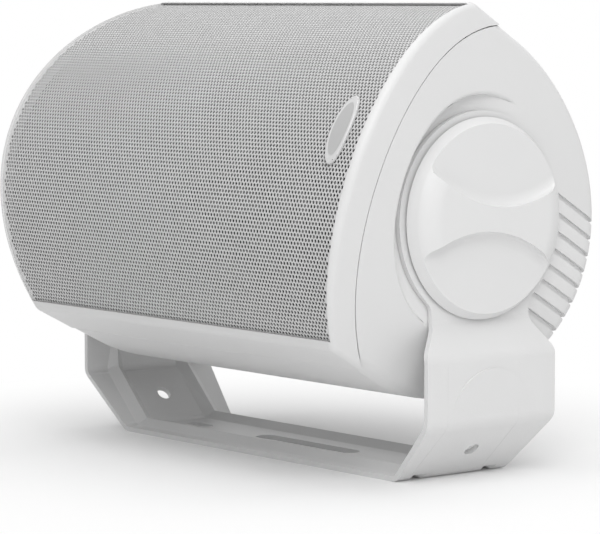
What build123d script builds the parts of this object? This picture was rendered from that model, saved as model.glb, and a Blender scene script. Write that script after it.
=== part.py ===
# Outdoor two-way patio speaker, tilting in a U bracket between two clamp knobs.
# Millimetres. X runs along the speaker, the grille faces -Y, Z is up.
# The origin is the bottom centre of the bracket's base.
# The body is drawn in its own directions: X along, v up the grille, u out of the grille.
from build123d import *
from math import atan2, cos, degrees, radians, sin, sqrt, tan
import os

os.makedirs("parts", exist_ok=True)

# Pose of the body in the bracket
pivot_height = 97.1
tilt = 28.5

# Body envelope
rear_radius = 70.5
rear_centre_u = 6.0
end_half_length = 110.8
end_reference_u = 59.1
end_draft = 0.11
end_bow_radius = 192.0
rear_edge_radius = 7.0
front_edge_radius = 3.0
lip_corner = 4.0
wall = 3.5

# Parting line between cabinet and front frame
parting_radius = 80.27
parting_centre_u = -21.2
parting_gap = 0.4
gasket_inset = 1.2
gasket_width = 1.6
gasket_fit = 0.05

# Grille
grille_radius = 84.65
grille_apex_u = 70.8
grille_sheet = 0.8
grille_flange = 4.0
grille_half_height = 68.0
grille_end_inset = 3.0
grille_end_draft = 0.06
grille_fit = 0.2
frame_proud = 1.5
badge_length = 27.0
badge_width = 10.0
badge_thickness = 1.2
badge_x = 97.0

# Baffle
baffle_face_u = 42.0
baffle_thickness = 4.0
chamber_half_length = 92.5
chamber_half_height = 59.5
chamber_corner = 14.0
skirt_wall = 1.6
frame_band_wall = 3.5
band_hollow_u = 27.0

# Clamp recess in each end of the cabinet
recess_floor_x = 99.1
recess_radius = 45.0
recess_slope = 8.0
floor_wall = 2.2
groove_pitch = 6.35
groove_count = 9
groove_width = 1.6
groove_depth = 1.5

# Clamp hardware
stud_radius = 3.0
thread_clearance = 0.05
insert_radius = 6.0
insert_length = 19.0
insert_sunk = 0.2
insert_fit = 0.02
insert_boss_radius = 9.5
stud_clearance = 0.3
stud_end_room = 1.5
washer_radius = 19.0
washer_thickness = 1.0
washer_gap = 0.05
knob_radius = 37.5
knob_height = 11.0
knob_edge_radius = 6.5
knob_slope = {"right": 6.0, "left": -5.0}
scoop_radius = 59.0
scoop_depth = 6.0
scoop_fillet = 4.5
bar_waist = 10.7
hex_flats = 10.0
hex_height = 3.5
hex_sunk = 0.5

# Bracket
sheet = 2.0
base_half_length = 85.0
base_half_width = 27.0
arm_outer_x = 108.0
arm_bend_z = 22.5
arm_half_width = 31.5
arm_top_z = 48.0
neck_half_width = 24.0
neck_z = 58.0
eye_outer_x = 101.4
eye_radius = 39.5
joggle_low_z = 47.0
joggle_high_z = 59.5
bend_radius = 6.0
neck_fillet = 6.0
bead_from_edge = 9.5
bead_height = 2.8
bead_half_width = 5.0
bead_top_z = 44.0
bead_root = 0.5
bead_fade = 0.05
groove_share = 0.8
centre_slot_length = 60.0
centre_slot_width = 9.0
end_slot_x = 70.0
end_slot_length = 14.0
end_slot_width = 5.5
slant_hole_radius = 3.0
emboss_radius = 20.0
emboss_height = 0.6
emboss_low_z = 25.6

# Woofer
woofer_x = -32.5
woofer_radius = 57.5
woofer_gasket_thickness = 1.0
basket_flange = 2.5
basket_throat_radius = 51.5
basket_wall = 2.0
basket_floor_radius = 31.0
basket_floor_u = 10.0
basket_window_count = 6
basket_window_width = 22.0
baffle_hole_clearance = 0.7
cone_rim_radius = 43.0
cone_land = 2.4
cone_thickness = 0.8
cone_neck_u = 25.2
surround_land_radius = 52.6
surround_thickness = 0.8
coil_radius = 12.9
coil_wall = 0.7
coil_gap = 0.5
coil_bottom_u = 5.0
cap_radius = 16.5
cap_height = 5.0
cap_thickness = 0.8
cap_seat = 0.3
spider_thickness = 0.6
spider_wave = 1.2
spider_rise = 1.4
spider_folds = 6
spider_land = 2.2
top_plate_radius = 30.0
top_plate_thickness = 4.0
magnet_radius = 34.0
magnet_bore = 20.0
magnet_thickness = 14.0
back_plate_radius = 33.0
back_plate_thickness = 5.0
pole_vent_radius = 4.0
woofer_screw_circle = 55.0
woofer_screw_count = 6
driver_head_radius = 2.2
driver_head_height = 1.6
driver_shank_radius = 1.2
driver_shank_length = 7.0

# Tweeter
tweeter_x = 60.0
tweeter_radius = 28.0
tweeter_plate = 2.5
tweeter_throat = 13.0
tweeter_mouth = 19.0
tweeter_hole_radius = 21.5
dome_radius = 11.5
dome_height = 5.0
dome_flange = 18.0
dome_thickness = 0.5
tweeter_magnet_radius = 20.0
tweeter_magnet_thickness = 18.0
tweeter_screw_circle = 24.6
tweeter_screw_count = 4

# Baffle screws and the columns that take them
baffle_screw_x = 85.5
baffle_screw_v = 48.0
column_half = 5.0
column_reach = 10.5
column_depth = 30.0
baffle_head_radius = 3.6
baffle_head_height = 2.4
baffle_shank_radius = 1.9
baffle_shank_length = 18.0
screw_clearance = 0.2

# Terminal cup in the back of the cabinet
cup_half_length = 26.0
cup_half_height = 15.0
cup_flange_width = 5.0
cup_flange_thickness = 2.0
cup_depth = 17.0
cup_wall = 2.0
cup_corner = 5.0
cup_fit = 0.3
pad_seat_u = -58.0
pad_depth = 6.0
pad_margin = 3.0
post_x = 11.0
post_radius = 2.5
post_length = 14.0
post_tail = 5.0
post_collar_radius = 5.0
post_collar_height = 2.0
post_cap_radius = 5.6
post_cap_length = 9.0
post_cap_gap = 0.3
cup_screw_x = 28.6
cup_screw_length = 6.5

# Crossover
board_length = 62.0
board_width = 42.0
board_thickness = 1.6
board_x = 52.0
board_u = -14.0
board_v = -48.0
board_screw_inset = 4.5
standoff_radius = 3.2
standoff_root = 1.0
inductor_radius = 13.0
inductor_bore = 5.0
inductor_height = 12.0
capacitor_radius = 6.5
capacitor_length = 24.0
capacitor_offset = 14.0
capacitor_rows = (-10.0, 6.0)
inductor_offset = -17.0

# Acoustic wadding
pad_thickness = 11.0
pad_half_length = 84.0
pad_wall_gap = 0.3
pad_start = -45.0
pad_sweep = 50.0

# Wires
wire_radius = 1.3
wire_bend = 5.0
wire_gap = 0.3
wire_rise = 13.0
wire_lead = 13.0
wire_from_edge = 2.0
coil_wire_room = 4.0
woofer_pad_x = -19.0
tweeter_pad_x = 18.0
positive_pad_x = -11.0
negative_pad_x = -19.0

# Body directions, as unit vectors
along = Vector(1, 0, 0)
up_v = Vector(0, sin(radians(tilt)), cos(radians(tilt)))
out_u = Vector(0, -cos(radians(tilt)), sin(radians(tilt)))
pivot = Vector(0, 0, pivot_height)

far = 160.0
grille_centre_u = grille_apex_u - grille_radius
baffle_back_u = baffle_face_u - baffle_thickness


def body_point(x, v, u):
    return pivot + along * x + up_v * v + out_u * u


def front_plane(u, x=0.0, v=0.0):
    # Local x is along the speaker, local y is v, normal is u
    return Plane(origin=body_point(x, v, u), x_dir=along, z_dir=out_u)


def end_plane(x=0.0, side=1):
    # Local x is v, local y is u times the side, normal points out of that end
    return Plane(origin=body_point(side * x, 0, 0), x_dir=up_v, z_dir=along * side)


def spin_plane(x, u=0.0):
    # Local x is a driver's radius, local y is u
    return Plane(origin=body_point(x, 0, u), x_dir=along, z_dir=up_v * -1)


def spin_axis(x):
    return Axis(body_point(x, 0, 0), out_u)


def end_x(u, inset=0.0):
    return end_half_length + end_draft * (u - end_reference_u) - inset


def save(piece, name):
    piece.part.label = name
    export_step(piece.part, f"parts/{name}.step")


def bowed_outline(half_length, half_height):
    # Closed outline with straight long sides and bowed ends
    sag = end_bow_radius - sqrt(end_bow_radius**2 - half_height**2)
    corner = half_length - sag
    with BuildLine(Plane.XY) as outline:
        Line((-corner, half_height), (corner, half_height))
        ThreePointArc((corner, half_height), (half_length, 0), (corner, -half_height))
        Line((corner, -half_height), (-corner, -half_height))
        ThreePointArc((-corner, -half_height), (-half_length, 0), (-corner, half_height))
    make_face(outline.edges())


def envelope(inset=0.0):
    # Outer form of cabinet and frame together, or the same form set in by a wall
    half_height = rear_radius - inset
    lip = grille_radius + frame_proud - inset
    lip_u = grille_centre_u + sqrt(lip**2 - half_height**2)
    low_u, high_u = -end_half_length, end_half_length
    with BuildPart() as form:
        with BuildSketch(end_plane()) as section:
            with BuildLine():
                Line((half_height, rear_centre_u), (half_height, lip_u))
                ThreePointArc((half_height, lip_u), (0, grille_centre_u + lip), (-half_height, lip_u))
                Line((-half_height, lip_u), (-half_height, rear_centre_u))
                ThreePointArc(
                    (-half_height, rear_centre_u),
                    (0, rear_centre_u - half_height),
                    (half_height, rear_centre_u),
                )
            make_face()
            fillet(section.vertices().group_by(Axis.Y)[-1], radius=lip_corner)
        extrude(amount=far, both=True)
        for u in (low_u, high_u):
            with BuildSketch(front_plane(u)):
                bowed_outline(end_x(u, inset), rear_radius + rear_edge_radius)
        loft(ruled=True, mode=Mode.INTERSECT)
    return form.part


def body_u(shape):
    return (shape.center() - pivot).dot(out_u)


def parting_solid(radius):
    with BuildPart() as drum:
        with BuildSketch(end_plane()):
            with Locations((0, parting_centre_u)):
                Circle(radius)
        extrude(amount=far, both=True)
    return drum.part


def grille_drum(radius):
    with BuildPart() as drum:
        with BuildSketch(end_plane()):
            with Locations((0, grille_centre_u)):
                Circle(radius)
        extrude(amount=far, both=True)
    return drum.part


def grille_prism(shrink):
    # Outline of the grille looking at it, set in or out by shrink
    longest = end_x(grille_apex_u) - grille_end_inset - shrink
    with BuildPart() as prism:
        for u in (0, far):
            with BuildSketch(front_plane(u)):
                half_length = longest + grille_end_draft * (u - grille_apex_u)
                bowed_outline(half_length, grille_half_height - shrink)
        loft(ruled=True)
    return prism.part


def stadium(side, radius):
    # Round towards the grille, straight sides that run off the back of the body
    with BuildLine(Plane.XY) as outline:
        Line((radius, 0), (radius, -side * far))
        Line((radius, -side * far), (-radius, -side * far))
        Line((-radius, -side * far), (-radius, 0))
        ThreePointArc((-radius, 0), (0, side * radius), (radius, 0))
    make_face(outline.edges())


def recess_solid(side):
    # Clamp recess: sloped wall round the front, running into a flat channel at the rear
    depth = end_half_length - recess_floor_x + wall
    widen = depth * tan(radians(recess_slope))
    with BuildPart() as recess:
        with BuildSketch(end_plane(recess_floor_x, side)):
            stadium(side, recess_radius)
        with BuildSketch(end_plane(recess_floor_x + depth, side)):
            stadium(side, recess_radius + widen)
        loft(ruled=True)
    return recess.part


def cavity_solid():
    # Inside of the cabinet, kept clear of the two clamp recesses
    boss_x = recess_floor_x - groove_depth - floor_wall
    boss_radius = recess_radius + (end_half_length - recess_floor_x) / 2 * tan(radians(recess_slope)) + wall
    with BuildPart() as cavity:
        add(envelope(wall))
        for side in (1, -1):
            with BuildSketch(end_plane(boss_x, side)):
                stadium(side, boss_radius)
            extrude(amount=far, mode=Mode.SUBTRACT)
    return cavity.part


def cabinet_bottom_v(u):
    return -sqrt((rear_radius - wall) ** 2 - (u - rear_centre_u) ** 2)


# Places shared by several pieces
baffle_screw_spots = [
    (i * baffle_screw_x, j * baffle_screw_v) for i in (-1, 1) for j in (-1, 1)
]
board_screw_reach = board_length / 2 - board_screw_inset
board_screw_span = board_width / 2 - board_screw_inset
board_screw_spots = [
    (board_x + i * board_screw_reach, board_u + j * board_screw_span)
    for i in (-1, 1)
    for j in (-1, 1)
]
cup_screw_spots = [(-cup_screw_x, 0), (cup_screw_x, 0)]
insert_inner_x = recess_floor_x - insert_sunk - insert_length

# Rear cabinet: moulded bucket with clamp recesses, screw columns and a seat for the terminals
with BuildPart() as rear_cabinet:
    add(envelope())
    add(parting_solid(parting_radius), mode=Mode.INTERSECT)
    for pick in (0, -1):
        end = rear_cabinet.faces().sort_by(Axis.X)[pick]
        rim = end.edges().filter_by(lambda edge: body_u(edge) < baffle_face_u - rear_edge_radius)
        fillet(rim, radius=rear_edge_radius)
    for side in (1, -1):
        add(recess_solid(side), mode=Mode.SUBTRACT)
        with BuildSketch(end_plane(recess_floor_x, side)):
            with GridLocations(groove_pitch, 0, groove_count, 1):
                with Locations((0, -side * far / 2)):
                    Rectangle(groove_width, far)
        extrude(amount=-groove_depth, mode=Mode.SUBTRACT)
    add(cavity_solid(), mode=Mode.SUBTRACT)
    for side in (1, -1):
        with BuildSketch(end_plane(insert_inner_x, side)):
            Circle(insert_boss_radius)
        extrude(amount=insert_length - groove_depth)
        with BuildSketch(end_plane(insert_inner_x, side)):
            Circle(insert_radius + insert_fit)
        extrude(amount=far, mode=Mode.SUBTRACT)
    with BuildSketch(front_plane(baffle_back_u)):
        for i, j in ((-1, -1), (-1, 1), (1, -1), (1, 1)):
            with Locations((i * (baffle_screw_x + column_reach / 2 - column_half / 2), j * baffle_screw_v)):
                Rectangle(column_half + column_reach, 2 * column_half)
    extrude(amount=-column_depth)
    with BuildSketch(front_plane(baffle_back_u)):
        with Locations(*baffle_screw_spots):
            Circle(baffle_shank_radius + thread_clearance)
    extrude(amount=-baffle_shank_length, mode=Mode.SUBTRACT)
    # Pad behind the terminals, sunk flat from outside and open for the cup
    with BuildSketch(front_plane(pad_seat_u)):
        RectangleRounded(
            2 * (cup_half_length + cup_flange_width + pad_margin),
            2 * (cup_half_height + cup_flange_width + pad_margin),
            cup_corner,
        )
    extrude(amount=pad_depth)
    with BuildSketch(front_plane(pad_seat_u)):
        RectangleRounded(
            2 * (cup_half_length + cup_flange_width + cup_fit),
            2 * (cup_half_height + cup_flange_width + cup_fit),
            cup_corner,
        )
    extrude(amount=-far / 4, mode=Mode.SUBTRACT)
    with BuildSketch(front_plane(pad_seat_u)):
        RectangleRounded(2 * (cup_half_length + cup_fit), 2 * (cup_half_height + cup_fit), cup_corner)
    extrude(amount=pad_depth, mode=Mode.SUBTRACT)
    with BuildSketch(front_plane(pad_seat_u)):
        with Locations(*cup_screw_spots):
            Circle(driver_shank_radius + thread_clearance)
    extrude(amount=pad_depth, mode=Mode.SUBTRACT)
    # Standoffs for the crossover board
    for x, u in board_screw_spots:
        top = board_v
        root = cabinet_bottom_v(u) - standoff_root
        with BuildSketch(Plane(origin=body_point(x, root, u), x_dir=along, z_dir=up_v)):
            Circle(standoff_radius)
        extrude(amount=top - root)
        with BuildSketch(Plane(origin=body_point(x, top, u), x_dir=along, z_dir=up_v)):
            Circle(driver_shank_radius + thread_clearance)
        extrude(amount=-driver_shank_length, mode=Mode.SUBTRACT)
save(rear_cabinet, "rear_cabinet")

# Front frame and baffle: crescent ring that carries the grille, with the driver plate sunk inside
skirt_half_length = chamber_half_length + skirt_wall
skirt_half_height = chamber_half_height + skirt_wall
seat_radius = grille_radius - grille_flange - grille_fit
with BuildPart() as grille_pocket:
    add(grille_prism(-grille_fit))
    add(grille_drum(seat_radius), mode=Mode.SUBTRACT)
with BuildPart() as front_baffle:
    add(envelope())
    by_x = front_baffle.faces().sort_by(Axis.X)
    fillet(by_x[0].edges() + by_x[-1].edges(), radius=front_edge_radius)
    add(parting_solid(parting_radius + parting_gap), mode=Mode.SUBTRACT)
    with BuildSketch(front_plane(0)):
        Rectangle(2 * (end_half_length - frame_band_wall), 2 * (rear_radius - frame_band_wall))
    extrude(amount=band_hollow_u, mode=Mode.SUBTRACT)
    with BuildSketch(front_plane(baffle_back_u)):
        RectangleRounded(2 * skirt_half_length, 2 * skirt_half_height, chamber_corner + skirt_wall)
    extrude(amount=parting_radius + parting_centre_u - baffle_back_u + wall)
    with BuildSketch(front_plane(baffle_face_u)):
        RectangleRounded(2 * chamber_half_length, 2 * chamber_half_height, chamber_corner)
    extrude(amount=far, mode=Mode.SUBTRACT)
    add(grille_pocket.part, mode=Mode.SUBTRACT)
    with BuildSketch(front_plane(baffle_face_u)):
        with Locations((woofer_x, 0)):
            Circle(basket_throat_radius + baffle_hole_clearance)
        with Locations((tweeter_x, 0)):
            Circle(tweeter_hole_radius)
        with Locations(*baffle_screw_spots):
            Circle(baffle_shank_radius + screw_clearance)
    extrude(amount=-baffle_thickness, mode=Mode.SUBTRACT)
    for x, circle, count in (
        (woofer_x, woofer_screw_circle, woofer_screw_count),
        (tweeter_x, tweeter_screw_circle, tweeter_screw_count),
    ):
        with BuildSketch(front_plane(baffle_face_u, x)):
            with PolarLocations(circle, count, start_angle=180 / count):
                Circle(driver_shank_radius + thread_clearance)
        extrude(amount=-baffle_thickness, mode=Mode.SUBTRACT)
save(front_baffle, "front_baffle")

# Gasket in the parting gap
with BuildPart() as baffle_gasket:
    add(envelope(gasket_inset))
    add(envelope(gasket_inset + gasket_width), mode=Mode.SUBTRACT)
    add(parting_solid(parting_radius + parting_gap - gasket_fit), mode=Mode.INTERSECT)
    add(parting_solid(parting_radius + gasket_fit), mode=Mode.SUBTRACT)
save(baffle_gasket, "baffle_gasket")

# Grille: curved sheet with a turned-in flange that stands on the frame's ledge
with BuildPart() as grille_hollow:
    add(grille_drum(grille_radius - grille_sheet))
    add(grille_prism(grille_sheet), mode=Mode.INTERSECT)
with BuildPart() as grille:
    add(grille_drum(grille_radius))
    add(grille_prism(0), mode=Mode.INTERSECT)
    add(grille_hollow.part, mode=Mode.SUBTRACT)
    add(grille_drum(grille_radius - grille_flange), mode=Mode.SUBTRACT)
save(grille, "grille")

# Blank oval badge that follows the grille
with BuildPart() as grille_badge:
    add(grille_drum(grille_radius + badge_thickness))
    add(grille_drum(grille_radius), mode=Mode.SUBTRACT)
    with BuildSketch(front_plane(0)):
        with Locations((badge_x, 0)):
            Ellipse(badge_width / 2, badge_length / 2)
    extrude(amount=far, mode=Mode.INTERSECT)
save(grille_badge, "grille_badge")


def spun(x, name, points):
    # Turned piece: a closed outline of radius and u, spun about a driver's axis
    with BuildPart() as piece:
        with BuildSketch(spin_plane(x)):
            with BuildLine():
                Polyline(*points, close=True)
            make_face()
        revolve(axis=spin_axis(x))
    save(piece, name)
    return piece


def screw_group(name, plane, spots, head_radius, head_height, shank_radius, shank_length):
    # Pan-head screws, one solid each, with the heads standing on the plane
    with BuildPart() as screws:
        with BuildSketch(plane):
            with Locations(*spots):
                Circle(head_radius)
        extrude(amount=head_height)
        with BuildSketch(plane):
            with Locations(*spots):
                Circle(shank_radius)
        extrude(amount=-shank_length)
    save(screws, name)


def circle_spots(radius, count):
    turns = [radians((180 + 360 * i) / count) for i in range(count)]
    return [(radius * cos(turn), radius * sin(turn)) for turn in turns]


# Woofer: frame parts, from the gasket on the baffle to the back plate
gasket_top_u = baffle_face_u + woofer_gasket_thickness
flange_top_u = gasket_top_u + basket_flange
basket_shoulder_u = baffle_back_u - basket_wall
floor_top_u = basket_floor_u + basket_wall
throat_inner = basket_throat_radius - basket_wall
with BuildPart() as woofer_gasket:
    with BuildSketch(front_plane(baffle_face_u, woofer_x)):
        Circle(woofer_radius)
        Circle(basket_throat_radius + baffle_hole_clearance, mode=Mode.SUBTRACT)
        with Locations(*circle_spots(woofer_screw_circle, woofer_screw_count)):
            Circle(driver_shank_radius + screw_clearance, mode=Mode.SUBTRACT)
    extrude(amount=woofer_gasket_thickness)
save(woofer_gasket, "woofer_gasket")
with BuildPart() as woofer_basket:
    with BuildSketch(spin_plane(woofer_x)):
        with BuildLine():
            Polyline(
                (woofer_radius, flange_top_u),
                (woofer_radius, gasket_top_u),
                (basket_throat_radius, gasket_top_u),
                (basket_throat_radius, basket_shoulder_u),
                (basket_floor_radius, floor_top_u + basket_wall),
                (basket_floor_radius, basket_floor_u),
                (coil_radius + coil_gap, basket_floor_u),
                (coil_radius + coil_gap, floor_top_u),
                (basket_floor_radius - basket_wall, floor_top_u),
                (basket_floor_radius - basket_wall, floor_top_u + 2 * basket_wall),
                (throat_inner, basket_shoulder_u + basket_wall / 2),
                (throat_inner, flange_top_u),
                close=True,
            )
        make_face()
    revolve(axis=spin_axis(woofer_x))
    for i in range(basket_window_count):
        with BuildSketch(front_plane(floor_top_u + 3 * basket_wall, woofer_x)):
            with PolarLocations(throat_inner, 1, start_angle=360 * i / basket_window_count):
                Rectangle(throat_inner, basket_window_width)
        extrude(amount=basket_shoulder_u - floor_top_u - 4 * basket_wall, mode=Mode.SUBTRACT)
    with BuildSketch(front_plane(flange_top_u, woofer_x)):
        with Locations(*circle_spots(woofer_screw_circle, woofer_screw_count)):
            Circle(driver_shank_radius + screw_clearance)
    extrude(amount=-basket_flange, mode=Mode.SUBTRACT)
save(woofer_basket, "woofer_basket")

# Woofer: moving parts
coil_inner = coil_radius - coil_wall
cone_foot_u = cone_neck_u + 1.2 * cone_thickness
cone_shoulder = cone_rim_radius - cone_land
cone_slope = (flange_top_u - cone_foot_u) / (cone_shoulder - coil_radius)
spun(
    woofer_x,
    "woofer_cone",
    [
        (cone_rim_radius, flange_top_u),
        (cone_rim_radius, flange_top_u - cone_thickness),
        (cone_shoulder + cone_thickness / 2, flange_top_u - cone_thickness),
        (coil_radius, cone_neck_u),
        (coil_radius, cone_foot_u),
        (cone_shoulder, flange_top_u),
    ],
)
spun(
    woofer_x,
    "woofer_voice_coil",
    [
        (coil_inner, coil_bottom_u),
        (coil_radius, coil_bottom_u),
        (coil_radius, cone_foot_u),
        (coil_inner, cone_foot_u),
    ],
)
cap_base_u = cone_foot_u + cone_slope * (cap_radius - coil_radius) + cap_seat


def dome(x, name, radius, base_u, height, thickness, flange=0.0):
    # Shell of a sphere on the driver's axis, with an optional flat flange
    bend = (radius**2 + height**2) / (2 * height)
    centre_u = base_u + height - bend
    inner_bend = bend - thickness
    inner_radius = sqrt(inner_bend**2 - (base_u - centre_u) ** 2)
    with BuildPart() as shell:
        with BuildSketch(spin_plane(x)):
            with BuildLine():
                ThreePointArc(
                    (radius, base_u),
                    (radius / 2, centre_u + sqrt(bend**2 - radius**2 / 4)),
                    (0, centre_u + bend),
                )
                Line((0, centre_u + bend), (0, centre_u + inner_bend))
                ThreePointArc(
                    (0, centre_u + inner_bend),
                    (radius / 2, centre_u + sqrt(inner_bend**2 - radius**2 / 4)),
                    (inner_radius, base_u),
                )
                Line((inner_radius, base_u), (radius, base_u))
            make_face()
            if flange:
                with BuildLine():
                    Polyline(
                        (inner_radius, base_u - thickness),
                        (flange, base_u - thickness),
                        (flange, base_u),
                        (inner_radius, base_u),
                        close=True,
                    )
                make_face()
        revolve(axis=spin_axis(x))
    save(shell, name)


dome(woofer_x, "woofer_dust_cap", cap_radius, cap_base_u, cap_height, cap_thickness)

# Woofer: rubber roll and corrugated spider
roll_middle = (cone_rim_radius + throat_inner) / 2
roll_radius = (throat_inner - cone_rim_radius) / 2
with BuildPart() as woofer_surround:
    with BuildSketch(spin_plane(woofer_x, flange_top_u)):
        with Locations((roll_middle, 0)):
            Circle(roll_radius + surround_thickness)
            Circle(roll_radius, mode=Mode.SUBTRACT)
        with Locations((roll_middle, -roll_radius)):
            Rectangle(4 * roll_radius, 2 * roll_radius, mode=Mode.SUBTRACT)
        for near, wide in (
            (cone_shoulder, cone_land),
            (throat_inner, surround_land_radius - throat_inner),
        ):
            with Locations((near + wide / 2, surround_thickness / 2)):
                Rectangle(wide, surround_thickness)
    revolve(axis=spin_axis(woofer_x))
save(woofer_surround, "woofer_surround")

spider_outer = basket_floor_radius - basket_wall - thread_clearance
spider_step = (spider_outer - spider_land - coil_radius) / spider_folds
spider_line = [(spider_outer, floor_top_u), (spider_outer - spider_land, floor_top_u)]
for i in range(spider_folds):
    lift = spider_rise + (spider_wave if i % 2 == 0 else 0)
    spider_line.append((spider_outer - spider_land - (i + 1) * spider_step, floor_top_u + lift))
spider_top = [(r, u + spider_thickness) for r, u in reversed(spider_line)]
spun(woofer_x, "woofer_spider", spider_line + spider_top)

# Woofer: motor
top_plate_u = basket_floor_u - top_plate_thickness
magnet_u = top_plate_u - magnet_thickness
pole_radius = coil_inner - coil_gap
spun(
    woofer_x,
    "woofer_top_plate",
    [
        (coil_radius + coil_gap, top_plate_u),
        (top_plate_radius, top_plate_u),
        (top_plate_radius, basket_floor_u),
        (coil_radius + coil_gap, basket_floor_u),
    ],
)
spun(
    woofer_x,
    "woofer_magnet",
    [
        (magnet_bore, magnet_u),
        (magnet_radius, magnet_u),
        (magnet_radius, top_plate_u),
        (magnet_bore, top_plate_u),
    ],
)
spun(
    woofer_x,
    "woofer_pole_plate",
    [
        (pole_vent_radius, magnet_u - back_plate_thickness),
        (back_plate_radius, magnet_u - back_plate_thickness),
        (back_plate_radius, magnet_u),
        (pole_radius, magnet_u),
        (pole_radius, basket_floor_u),
        (pole_vent_radius, basket_floor_u),
    ],
)
screw_group(
    "woofer_screws",
    front_plane(flange_top_u, woofer_x),
    circle_spots(woofer_screw_circle, woofer_screw_count),
    driver_head_radius,
    driver_head_height,
    driver_shank_radius,
    driver_shank_length,
)

# Tweeter
tweeter_top_u = baffle_face_u + tweeter_plate
with BuildPart() as tweeter_faceplate:
    with BuildSketch(spin_plane(tweeter_x)):
        with BuildLine():
            Polyline(
                (tweeter_throat, baffle_face_u),
                (tweeter_radius, baffle_face_u),
                (tweeter_radius, tweeter_top_u),
                (tweeter_mouth, tweeter_top_u),
                (tweeter_throat, baffle_face_u + tweeter_plate / 3),
                close=True,
            )
        make_face()
    revolve(axis=spin_axis(tweeter_x))
    with BuildSketch(front_plane(tweeter_top_u, tweeter_x)):
        with Locations(*circle_spots(tweeter_screw_circle, tweeter_screw_count)):
            Circle(driver_shank_radius + screw_clearance)
    extrude(amount=-tweeter_plate, mode=Mode.SUBTRACT)
save(tweeter_faceplate, "tweeter_faceplate")
dome(tweeter_x, "tweeter_dome", dome_radius, baffle_face_u, dome_height, dome_thickness, dome_flange)
magnet_top_u = baffle_face_u - dome_thickness
spun(
    tweeter_x,
    "tweeter_magnet",
    [
        (0, magnet_top_u - tweeter_magnet_thickness),
        (tweeter_magnet_radius, magnet_top_u - tweeter_magnet_thickness),
        (tweeter_magnet_radius, magnet_top_u),
        (0, magnet_top_u),
    ],
)
screw_group(
    "tweeter_screws",
    front_plane(tweeter_top_u, tweeter_x),
    circle_spots(tweeter_screw_circle, tweeter_screw_count),
    driver_head_radius,
    driver_head_height,
    driver_shank_radius,
    baffle_thickness + tweeter_plate - screw_clearance,
)
screw_group(
    "baffle_screws",
    front_plane(baffle_face_u),
    baffle_screw_spots,
    baffle_head_radius,
    baffle_head_height,
    baffle_shank_radius,
    baffle_shank_length,
)


# Crossover board with its parts, screwed to the standoffs
def board_plane(height, x=board_x, u=board_u):
    # Local x is along the speaker, local y is minus u, normal is v
    return Plane(origin=body_point(x, height, u), x_dir=along, z_dir=up_v)


board_top = board_v + board_thickness
board_local_spots = [(x - board_x, board_u - u) for x, u in board_screw_spots]
with BuildPart() as crossover_board:
    with BuildSketch(board_plane(board_v)):
        Rectangle(board_length, board_width)
        with Locations(*board_local_spots):
            Circle(driver_shank_radius + screw_clearance, mode=Mode.SUBTRACT)
    extrude(amount=board_thickness)
save(crossover_board, "crossover_board")
with BuildPart() as crossover_coil:
    with BuildSketch(board_plane(board_top)):
        with Locations((inductor_offset, 0)):
            Circle(inductor_radius)
            Circle(inductor_bore, mode=Mode.SUBTRACT)
    extrude(amount=inductor_height)
save(crossover_coil, "crossover_coil")
with BuildPart() as crossover_capacitors:
    for row in capacitor_rows:
        start = body_point(board_x + capacitor_offset, board_top + capacitor_radius, board_u + row)
        with BuildSketch(Plane(origin=start, x_dir=up_v, z_dir=along)):
            Circle(capacitor_radius)
        extrude(amount=capacitor_length / 2, both=True)
save(crossover_capacitors, "crossover_capacitors")
screw_group(
    "crossover_screws",
    board_plane(board_top),
    board_local_spots,
    driver_head_radius,
    driver_head_height,
    driver_shank_radius,
    driver_shank_length,
)

# Terminal cup and its two binding posts
cup_floor_u = pad_seat_u + cup_depth
with BuildPart() as terminal_cup:
    with BuildSketch(front_plane(pad_seat_u)):
        RectangleRounded(
            2 * (cup_half_length + cup_flange_width), 2 * (cup_half_height + cup_flange_width), cup_corner
        )
    extrude(amount=-cup_flange_thickness)
    with BuildSketch(front_plane(pad_seat_u)):
        RectangleRounded(2 * cup_half_length, 2 * cup_half_height, cup_corner)
    extrude(amount=cup_depth)
    with BuildSketch(front_plane(cup_floor_u - cup_wall)):
        RectangleRounded(
            2 * (cup_half_length - cup_wall), 2 * (cup_half_height - cup_wall), cup_corner - cup_wall
        )
    extrude(amount=-far / 4, mode=Mode.SUBTRACT)
    with BuildSketch(front_plane(cup_floor_u)):
        with Locations((-post_x, 0), (post_x, 0)):
            Circle(post_radius + thread_clearance)
    extrude(amount=-cup_wall, mode=Mode.SUBTRACT)
    with BuildSketch(front_plane(pad_seat_u)):
        with Locations(*cup_screw_spots):
            Circle(driver_shank_radius + screw_clearance)
    extrude(amount=-cup_flange_thickness, mode=Mode.SUBTRACT)
save(terminal_cup, "terminal_cup")
rear_plane = Plane(
    origin=body_point(0, 0, pad_seat_u - cup_flange_thickness), x_dir=along, z_dir=out_u * -1
)
screw_group(
    "terminal_screws",
    rear_plane,
    cup_screw_spots,
    driver_head_radius,
    driver_head_height,
    driver_shank_radius,
    cup_screw_length,
)
seat_u = cup_floor_u - cup_wall
for name, x in (("positive", post_x), ("negative", -post_x)):
    with BuildPart() as post:
        with BuildSketch(front_plane(cup_floor_u + post_tail, x)):
            Circle(post_radius)
        extrude(amount=-(post_tail + cup_wall + post_length))
        with BuildSketch(front_plane(seat_u, x)):
            Circle(post_collar_radius)
        extrude(amount=-post_collar_height)
    save(post, f"{name}_post")
    with BuildPart() as post_cap:
        with BuildSketch(front_plane(seat_u - post_collar_height - post_cap_gap, x)):
            Circle(post_cap_radius)
            Circle(post_radius + thread_clearance, mode=Mode.SUBTRACT)
        extrude(amount=-post_cap_length)
    save(post_cap, f"{name}_cap")

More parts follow.
